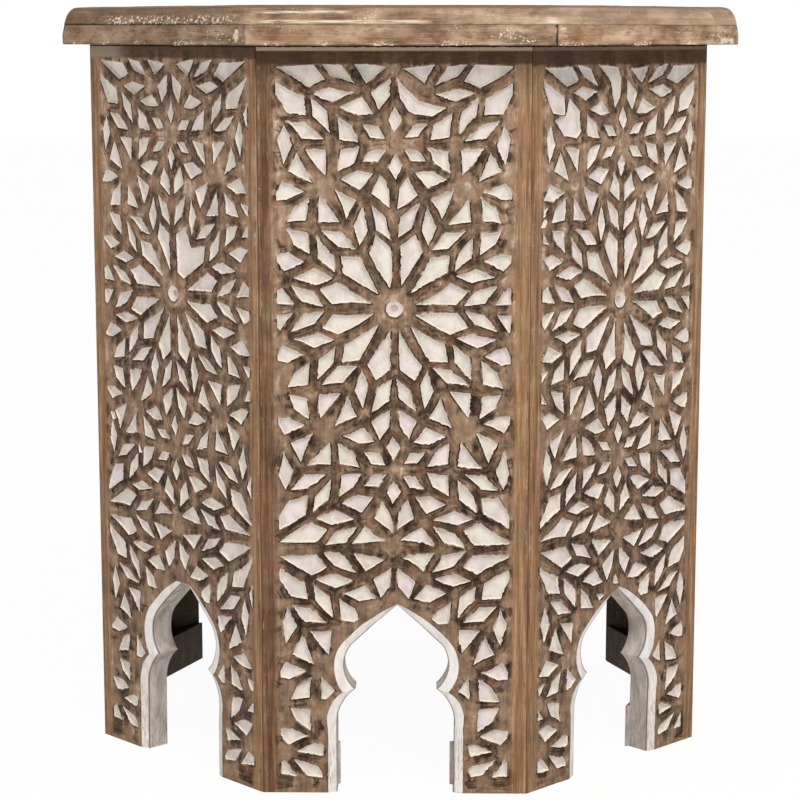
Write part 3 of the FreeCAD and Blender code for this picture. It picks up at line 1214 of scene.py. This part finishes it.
class Nodes:
    """The nodes of a material or of the world."""

    def __init__(self, tree):
        self.tree = tree

    def node(self, kind, inputs=(), **settings):
        made = self.tree.nodes.new(kind)
        for name, value in settings.items():
            setattr(made, name, value)
        for place, value in dict(inputs).items():
            if isinstance(value, bpy.types.NodeSocket):
                self.tree.links.new(value, made.inputs[place])
            else:
                made.inputs[place].default_value = value
        return made

    def math(self, operation, first, second=0.0, third=0.0):
        return self.node("ShaderNodeMath", {0: first, 1: second, 2: third}, operation=operation).outputs[0]

    def shown(self, share, own, seen, output):
        """Shows a share of one shader and the rest of its own."""
        mixed = self.node("ShaderNodeMixShader", {0: share, 1: own.outputs[0], 2: seen.outputs[0]})
        self.tree.links.new(mixed.outputs[0], self.tree.nodes[output].inputs[0])


class Looks(Nodes):
    """One material under construction."""

    def __init__(self, name, numbered=False):
        self.material = bpy.data.materials.new(name)
        self.material.use_nodes = True
        super().__init__(self.material.node_tree)
        self.surface = self.tree.nodes["Principled BSDF"]
        self.place = self.node("ShaderNodeTexCoord").outputs["Object"]
        self.coordinates = self.place
        if numbered:
            number = self.node("ShaderNodeCombineXYZ", {1: self.attribute("number")}).outputs[0]
            self.coordinates = self.moved(number, (1, panel_spacing * mm, 1), self.place)

    def moved(self, first, factor, offset):
        """A vector times a factor, plus an offset."""
        inputs = {0: first, 1: factor, 2: offset}
        return self.node("ShaderNodeVectorMath", inputs, operation="MULTIPLY_ADD").outputs[0]

    def attribute(self, name):
        return self.node("ShaderNodeAttribute", attribute_name=name).outputs["Fac"]

    def place_in_mm(self):
        """The position across, inwards and up, in millimetres."""
        separate = self.node("ShaderNodeSeparateXYZ", {0: self.place}).outputs
        return [self.math("DIVIDE", separate[axis], mm) for axis in "XYZ"]

    def pattern(self, name, vector=None, shift=(0, 0, 0)):
        """A pattern of noise from 0 to 1."""
        sizes, *settings = patterns[name]
        scale = [1 / size / mm for size in sizes]
        inputs = {"Vector": vector or self.coordinates, "Location": shift, "Scale": scale}
        inputs = {"Vector": self.node("ShaderNodeMapping", inputs).outputs[0], "Scale": 1.0}
        inputs.update(zip(("Detail", "Roughness", "Distortion"), settings))
        return self.node("ShaderNodeTexNoise", inputs).outputs[0]

    def times(self, first, *others):
        for other in others:
            first = self.math("MULTIPLY", first, other)
        return first

    def plus(self, base, value, share=1.0):
        """A base with a share of a value added."""
        return self.math("MULTIPLY_ADD", value, share, base)

    def centred(self, value):
        """A pattern's value about 0."""
        return self.math("SUBTRACT", value, 0.5)

    def step(self, value, start, end, low=0.0, high=1.0):
        """A smooth step from low to high while value goes from start to end."""
        inputs = {"Value": value, "From Min": start, "From Max": end, "To Min": low, "To Max": high}
        return self.node("ShaderNodeMapRange", inputs, interpolation_type="SMOOTHSTEP").outputs[0]

    def slope(self, value, name):
        return self.step(value, *slopes[name])

    def ragged(self, value, pattern, name):
        """A slope whose edge a pattern makes ragged."""
        return self.slope(self.plus(value, pattern, raggedness[name]), name)

    def within(self, value, low, high, soft):
        """A soft mask of the values between two limits."""
        above = self.step(value, low - soft, low + soft)
        return self.times(above, self.step(value, high + soft, high - soft))

    def box(self, height, across, limits, softness):
        """A soft mask of a range of heights and places across."""
        low, high, start, end = limits
        upright = self.within(height, low, high, softness[0])
        return self.times(upright, self.within(across, start, end, softness[1]))

    def mix(self, share, first, second):
        inputs = {0: share, 6: shade(first), 7: shade(second)}
        return self.node("ShaderNodeMix", inputs, data_type="RGBA").outputs[2]

    def ramp(self, value, stops):
        made = self.node("ShaderNodeValToRGB", {0: value})
        elements = made.color_ramp.elements
        while len(elements) < len(stops):
            elements.new(0.5)
        for element, (position, colour) in zip(elements, stops):
            element.position = position
            element.color = shade(colour)
        return made.outputs[0]

    def tinted(self, colour, pattern):
        """A wood colour that drifts towards olive, plum and rust from place to place."""
        for number, (tint, share) in enumerate(tints):
            drift = self.pattern(pattern, shift=tint_start + number * tint_spacing)
            colour = self.mix(self.step(drift, *tint_limits, 0, share), colour, self.mix(0.5, colour, tint))
        return colour

    def finish(self, colour, roughness, height, kind):
        """Links the colour, roughness and bump to the surface."""
        depth, strength = bumps[kind]
        inputs = {"Height": height, "Distance": depth * mm, "Strength": strength}
        self.tree.links.new(colour, self.surface.inputs["Base Color"])
        self.tree.links.new(roughness, self.surface.inputs["Roughness"])
        self.tree.links.new(self.node("ShaderNodeBump", inputs).outputs[0], self.surface.inputs["Normal"])
        self.surface.inputs["Specular IOR Level"].default_value = 0.25
        return self.material


def board_colour(looks, kind, colours, fleck_share):
    """The colour of an old stained board with pale flecks where it is knocked, and its two grains."""
    grain, fine_grain = looks.pattern(kind + "_grain"), looks.pattern(kind + "_fine")
    blotch = looks.pattern("board_blotch")
    tone = looks.plus(0.5, looks.centred(grain), board_tone_shares["grain"])
    tone = looks.plus(tone, looks.centred(blotch), board_tone_shares["blotch"])
    tone = looks.plus(tone, looks.centred(fine_grain), board_tone_shares["fine"])
    colour = looks.tinted(looks.ramp(tone, list(zip(board_stops, colours))), "board_tint")
    stain = looks.slope(looks.pattern("stain"), "board_stain")
    colour = looks.mix(stain, colour, darker(colours[0], stain_share))
    flecks = looks.plus(looks.pattern("flecks"), fleck_share)
    flecked = looks.ragged(flecks, looks.pattern("flecked"), "board_fleck")
    return looks.mix(flecked, colour, fleck_and_highlight_colour), fine_grain, grain


def finished_board(looks, colour, fine_grain, grain):
    height = looks.plus(looks.times(grain, 0.6), fine_grain, 0.7)
    return looks.finish(colour, looks.slope(fine_grain, "board_roughness"), height, "board")


def inner_wood():
    """Old dark wood of the inside, with its grain upright."""
    looks = Looks("inner_wood")
    return finished_board(looks, *board_colour(looks, "inner", inner_colours, fleck_shares["inside"]))


def plank_wood():
    """The planks of the top: dark round the upper edge, with worn pale arrises, some with a painted
    highlight, and a darker left corner.
    """
    looks = Looks("plank_wood")
    across, inwards, height = looks.place_in_mm()
    on_top = looks.slope(height, "top_face")
    on_rim = looks.slope(on_top, "none_of")
    boards = looks.math("DIVIDE", looks.plus(inwards, top_apothem), plank_width)
    board = looks.times(looks.math("FLOOR", boards), plank_spacing * mm)
    scale = looks.node("ShaderNodeCombineXYZ", {0: 1.0, 1: on_top, 2: 1.0}).outputs[0]
    offset = looks.node("ShaderNodeCombineXYZ", {0: board}).outputs[0]
    looks.coordinates = looks.moved(looks.place, scale, offset)
    colour, fine_grain, grain = board_colour(looks, "board", plank_colours, fleck_shares["planks"])
    looks.coordinates = looks.place
    edges = looks.pattern("rim_edges")
    colour = looks.mix(looks.ragged(height, looks.centred(edges), "dark_rim"), colour, dark_rim_colour)
    dark_end = looks.times(looks.ragged(across, edges, "dark_end"), on_rim)
    colour = looks.mix(dark_end, colour, looks.mix(0.6, colour, dark_end_colour))
    colour = looks.mix(looks.times(looks.ragged(across, edges, "pale_end"), on_rim), colour, pale_end_colour)
    to_joint = looks.times(looks.math("PINGPONG", boards, 0.5), plank_width)
    colour = looks.mix(looks.times(looks.slope(to_joint, "plank_joint"), on_top), colour, dark_end_colour)
    open_joint = looks.times(looks.ragged(height, edges, "open_joint"), dark_end)
    colour = looks.mix(open_joint, colour, edge_line_colour)
    knocks = looks.slope(looks.pattern("knocks"), "knocked")
    knocked = looks.times(looks.box(height, across, knocked_arris, knocked_softness), knocks)
    colour = looks.mix(knocked, colour, fleck_and_highlight_colour)
    # Pale streaks along the rim: worn arrises with a painted highlight
    for limits in worn_and_highlight_streaks:
        along = looks.slope(looks.pattern("streaks"), "streaked")
        highlight_streak = looks.times(looks.box(height, across, limits, streak_softness), along)
        colour = looks.mix(highlight_streak, colour, fleck_and_highlight_colour)
    return finished_board(looks, colour, fine_grain, grain)


def edging_wood(side):
    """One edging strip: darker under the joint and at its lower arris, where pale paint clings in places."""
    looks = Looks("edging_wood_" + side)
    turn = {"Vector": looks.place, "Angle": -2 * half_step * side_names.index(side)}
    looks.place = looks.node("ShaderNodeVectorRotate", turn, rotation_type="Z_AXIS").outputs[0]
    looks.coordinates = looks.place
    colours = [darker(colour, edging_tones.get(side, 1.0)) for colour in edging_colours]
    colour, fine_grain, grain = board_colour(looks, "board", colours, fleck_shares["edgings"])
    across, _, height = looks.place_in_mm()
    colour = looks.mix(looks.slope(height, "under_joint"), colour, colours[0])
    clung = looks.pattern("clung")
    clinging = looks.times(looks.slope(height, "low_edge"), looks.slope(clung, "clung"),
                           looks.slope(looks.pattern("clinging"), "clinging"))
    colour = looks.mix(looks.ragged(height, clung, "dark_arris"), colour, edge_line_colour)
    colour = looks.mix(clinging, colour, fleck_and_highlight_colour)
    edges = looks.pattern("edging_edges")
    for limits in pale_patches.get(side, []):
        patch = looks.ragged(looks.box(height, across, limits, patch_softness), edges, "patch")
        colour = looks.mix(patch, colour, fleck_and_highlight_colour)
    for place in cracks.get(side, []):
        colour = looks.mix(looks.ragged(looks.plus(across, -place), edges, "crack"), colour, edge_line_colour)
    return finished_board(looks, colour, fine_grain, grain)


def along_straps(looks, gap, lean):
    """Coordinates with the distance from a recess as second axis, so that a pattern runs along the straps."""
    separate = looks.node("ShaderNodeSeparateXYZ", {0: looks.coordinates}).outputs
    across = looks.plus(separate["X"], lean, lean_spacing * mm)
    inputs = {0: across, 1: looks.times(gap, mm), 2: separate["Z"]}
    return looks.node("ShaderNodeCombineXYZ", inputs).outputs[0]


def carved_tone(looks, made, stile, height):
    """The carved wood's tone, dark and mottled on narrow straps and by recesses, paler where straps meet."""
    gap, strap, lean = (looks.attribute(name) for name in point_marks)
    tone = looks.plus(looks.slope(strap, "strap_tone"), looks.attribute("tone"))
    tone = looks.plus(tone, looks.slope(height, "height_tone"))
    soaked = looks.times(
        looks.slope(strap, "soaked_strap"), looks.slope(looks.pattern("soaking"), "soaked"),
        looks.slope(stile, "none_of"), looks.slope(gap, "soaked_core"))
    tone = looks.plus(tone, soaked, -soaked_share)
    streaks = looks.pattern("along_straps", along_straps(looks, gap, lean))
    tone = looks.plus(tone, looks.centred(streaks), looks.slope(strap, "strap_streaks"))
    for name, share in carved_tone_shares.items():
        if name in stile_tone_shares:
            share = looks.plus(share, stile, stile_tone_shares[name])
        tone = looks.plus(tone, looks.centred(made[name]), share)
    return looks.plus(tone, looks.slope(gap, "by_recess"), looks.slope(lean, "edge_tone"))


def stile_colour(looks, made, across):
    """The colour of the plain stiles, darker at the front's left."""
    tone = looks.plus(looks.plus(stile_start_tone, made["carved_fine"], stile_tone_shares["carved_fine"]),
                      made["carved_grain"], stile_tone_shares["carved_grain"])
    on_front = looks.slope(looks.attribute("number"), "front")
    tone = looks.plus(tone, on_front, looks.slope(across, "front_stiles"))
    return looks.tinted(looks.ramp(tone, stile_ramp), "stile_tint")


def with_knife_lines(looks, colour, spots):
    """A colour with dark lines along the upper sides of recesses and smears of paint along others."""
    gap, strap, lean = (looks.attribute(name) for name in point_marks)
    cut = looks.pattern("knife")
    line = looks.times(looks.ragged(gap, spots, "edge_line"), looks.slope(cut, "line_cut"),
                       looks.slope(lean, "line_lean"), looks.slope(strap, "line_strap"))
    colour = looks.mix(line, colour, edge_line_colour)
    smear = looks.times(looks.slope(cut, "smear_cut"), looks.slope(lean, "smear_lean"),
                        looks.slope(gap, "smear_reach"))
    return looks.mix(smear, colour, smear_colour)


def with_top_bands(looks, colour, made, across, height):
    """A colour with the slab's painted shadow as a dark band over the field, paler at one end, and the pale
    strip above it with painted shade in the gap under the edging.
    """
    above_field = looks.math("SUBTRACT", height, looks.attribute("field_top"))
    # Painted shadow cast by the slab's overhang, as a dark band over the field
    band = looks.ragged(above_field, looks.centred(made["mottle"]), "shadow_band")
    colour = looks.mix(band, colour, shadow_band_colour)
    # Painted shadow made paler towards the far end on the front-left panel
    on_front_left = looks.slope(looks.attribute("number"), "front_left")
    paler_shadow_end = looks.times(band, on_front_left, looks.slope(across, "far_end"))
    colour = looks.mix(paler_shadow_end, colour, paler_shadow_end_colour)
    strip = looks.times(looks.ragged(height, made["spots"], "top_strip"), looks.attribute("strip"))
    colour = looks.mix(strip, colour, top_strip_colour)
    # Painted shade: a dark line in the gap right under the edging
    return looks.mix(looks.ragged(height, made["mottle"], "shade_under_edging"), colour, edge_line_colour)


def carved_wood():
    """The carved panels' wood."""
    looks = Looks("carved_wood", numbered=True)
    made = {name: looks.pattern(name) for name in carved_tone_shares}
    across, _, height = looks.place_in_mm()
    stile = looks.times(looks.slope(looks.math("ABSOLUTE", across), "stile"),
                        looks.slope(looks.attribute("rim"), "off_recess"))
    colour = looks.ramp(carved_tone(looks, made, stile, height), wood_ramp)
    colour = looks.tinted(colour, "carved_tint")
    colour = looks.mix(looks.times(stile, stile_share), colour, stile_colour(looks, made, across))
    colour = with_knife_lines(looks, colour, made["spots"])
    colour = with_top_bands(looks, colour, made, across, height)
    fine_grain = made["carved_fine"]
    relief = looks.plus(looks.plus(made["carved_grain"], made["spots"], 0.8), fine_grain, 0.7)
    return looks.finish(colour, looks.slope(fine_grain, "carved_roughness"), relief, "carved")


def recess_paint():
    """Chalky paint brushed into a recess: creamy along its rim, with a painted highlight along its lower
    edge, grey with painted shade along its upper edge, and grey where dirt lies.
    """
    looks = Looks("recess_paint", numbered=True)
    rim, lean = looks.attribute("rim"), looks.attribute("lean")
    clouds, fine, brushed = (looks.pattern(name) for name in ("clouds", "paint_fine", "brushed"))
    colour = looks.ramp(looks.pattern("tints"), paint_ramp)
    colour = looks.mix(looks.slope(clouds, "dull_clouds"), colour, dull_white)
    colour = looks.mix(looks.slope(brushed, "dull_strokes"), colour, dull_white)
    depth = looks.plus(looks.times(rim, -1.0), fine)
    # Cream fringe of paint, strongest along the lower edges as a painted highlight where the wall faces up
    fringe_and_highlight = looks.times(looks.slope(looks.pattern("fringe_knife"), "fringe_cut"),
                         looks.slope(lean, "fringe_highlight_lean"), looks.slope(depth, "fringe_reach"))
    colour = looks.mix(fringe_and_highlight, colour, cream_fringe_and_highlight)
    # Painted shade: grey inside the recess along its upper edge, where the wall faces down
    upper_edge_shade = looks.times(looks.slope(lean, "upper_shade_lean"), looks.slope(rim, "upper_shade_reach"))
    colour = looks.mix(upper_edge_shade, colour, recess_dirt_and_shade)
    dirt = looks.times(looks.slope(fine, "dirt_specks"), looks.slope(clouds, "dirt_clouds"))
    colour = looks.mix(dirt, colour, recess_dirt_and_shade)
    colour = looks.mix(looks.slope(rim, "drilled"), colour, drill_colour)
    relief = looks.plus(looks.plus(fine, clouds, 1.2), brushed, 0.5)
    return looks.finish(colour, looks.slope(fine, "paint_roughness"), relief, "recess")


def arch_paint(name, paint_stops, line_depth):
    """White paint round the arch, dirtier inside, with a dark line at the bevel's inner edge."""
    looks = Looks(name, numbered=True)
    grime, fine = looks.pattern("grime"), looks.pattern("arch_fine")
    _, inwards, height = looks.place_in_mm()
    dirt = looks.times(looks.slope(fine, "arch_dirt"), looks.slope(height, "low_arch"))
    colour = looks.mix(dirt, looks.ramp(grime, paint_stops), arch_dirt_colour)
    away = looks.math("ABSOLUTE", looks.plus(inwards, body_apothem - line_depth))
    colour = looks.mix(looks.slope(away, "arch_line"), colour, arch_line_colour)
    return looks.finish(colour, looks.slope(fine, "carved_roughness"), looks.plus(fine, grime), "arch")


def steel():
    looks = Looks("screw_steel")
    spots = looks.pattern("steel")
    looks.surface.inputs["Metallic"].default_value = 1.0
    return looks.finish(looks.ramp(spots, steel_ramp), looks.slope(spots, "steel_roughness"), spots, "steel")


def floor_paint():
    """A matt pale surface that the camera sees mostly as even white, so that a shadow on it is faint."""
    looks = Looks("floor_paint")
    clouds = looks.pattern("floor")
    looks.finish(looks.ramp(clouds, floor_ramp), looks.slope(clouds, "floor_roughness"), clouds, "floor")
    path = looks.node("ShaderNodeLightPath").outputs
    seen = looks.math("MAXIMUM", path["Is Camera Ray"], path["Is Glossy Ray"])
    even = looks.node("ShaderNodeEmission", {"Color": white, "Strength": 1.0})
    looks.shown(looks.times(seen, floor_white_share), looks.surface, even, "Material Output")
    return looks.material


wood_top = plank_wood()
wood_inner = inner_wood()
paint_reveal = arch_paint("reveal_paint", reveal_ramp, mouth_bevel_depth + 0.3)
slot_materials = [carved_wood(), recess_paint(), arch_paint("bevel_paint", bevel_ramp, mouth_bevel_depth),
                  paint_reveal, wood_inner]

for number, side in enumerate(side_names):
    build_panel(number, side)
    build_edging(number, side)
for number in range(plank_count):
    build_plank(number)

# Blocks beside the front arches took the reveal's paint
painted_blocks = ["foot_block_1", "foot_block_2", "foot_block_7", "foot_block_8"]
block_bevel = 0.6
screw_bevel = 0.1
for name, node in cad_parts.items():
    if "block" in name or "screws" in name:
        near = paint_reveal if name in painted_blocks else wood_inner
        node.data.materials.clear()
        node.data.materials.append(steel() if "screws" in name else near)
        bevel = node.modifiers.new("worn_edges", "BEVEL")
        bevel.width = (screw_bevel if "screws" in name else block_bevel) * mm
        bevel.segments = 2
        bevel.limit_method = "ANGLE"

# Floor, light and camera
bpy.ops.mesh.primitive_grid_add(
    size=floor_size, x_subdivisions=floor_parts, y_subdivisions=floor_parts, location=floor_place)
floor = bpy.context.object
floor.name = "studio_floor"
floor.data.materials.append(floor_paint())

world = bpy.data.worlds.new("studio")
bpy.context.scene.world = world
world.use_nodes = True
room = Nodes(world.node_tree)
background = room.tree.nodes["Background"]
background.inputs["Color"].default_value = world_colour
background.inputs["Strength"].default_value = world_strength
backdrop = room.node("ShaderNodeBackground", {"Color": white, "Strength": 1.0})
room.shown(room.node("ShaderNodeLightPath").outputs["Is Camera Ray"], background, backdrop, "World Output")


def area_light(name, place, target, size, power, colour):
    data = bpy.data.lights.new(name, "AREA")
    data.shape = "RECTANGLE"
    data.size, data.size_y = size
    data.energy = power
    data.color = colour
    light = bpy.data.objects.new(name, data)
    bpy.context.scene.collection.objects.link(light)
    light.location = place
    light.rotation_euler = (Vector(target) - Vector(place)).to_track_quat("-Z", "Y").to_euler()


for light in lights:
    area_light(*light)

camera_data = bpy.data.cameras.new("camera")
camera_data.sensor_width = sensor_width
camera_data.lens = camera_focal_pixels / image_size * sensor_width
camera_data.clip_end = camera_reach
camera = bpy.data.objects.new("camera", camera_data)
bpy.context.scene.collection.objects.link(camera)
camera.location = camera_place
camera.rotation_euler = (math.radians(90 - camera_pitch), 0, math.radians(-camera_yaw))
bpy.context.scene.camera = camera
bpy.context.scene.view_settings.view_transform = "Standard"
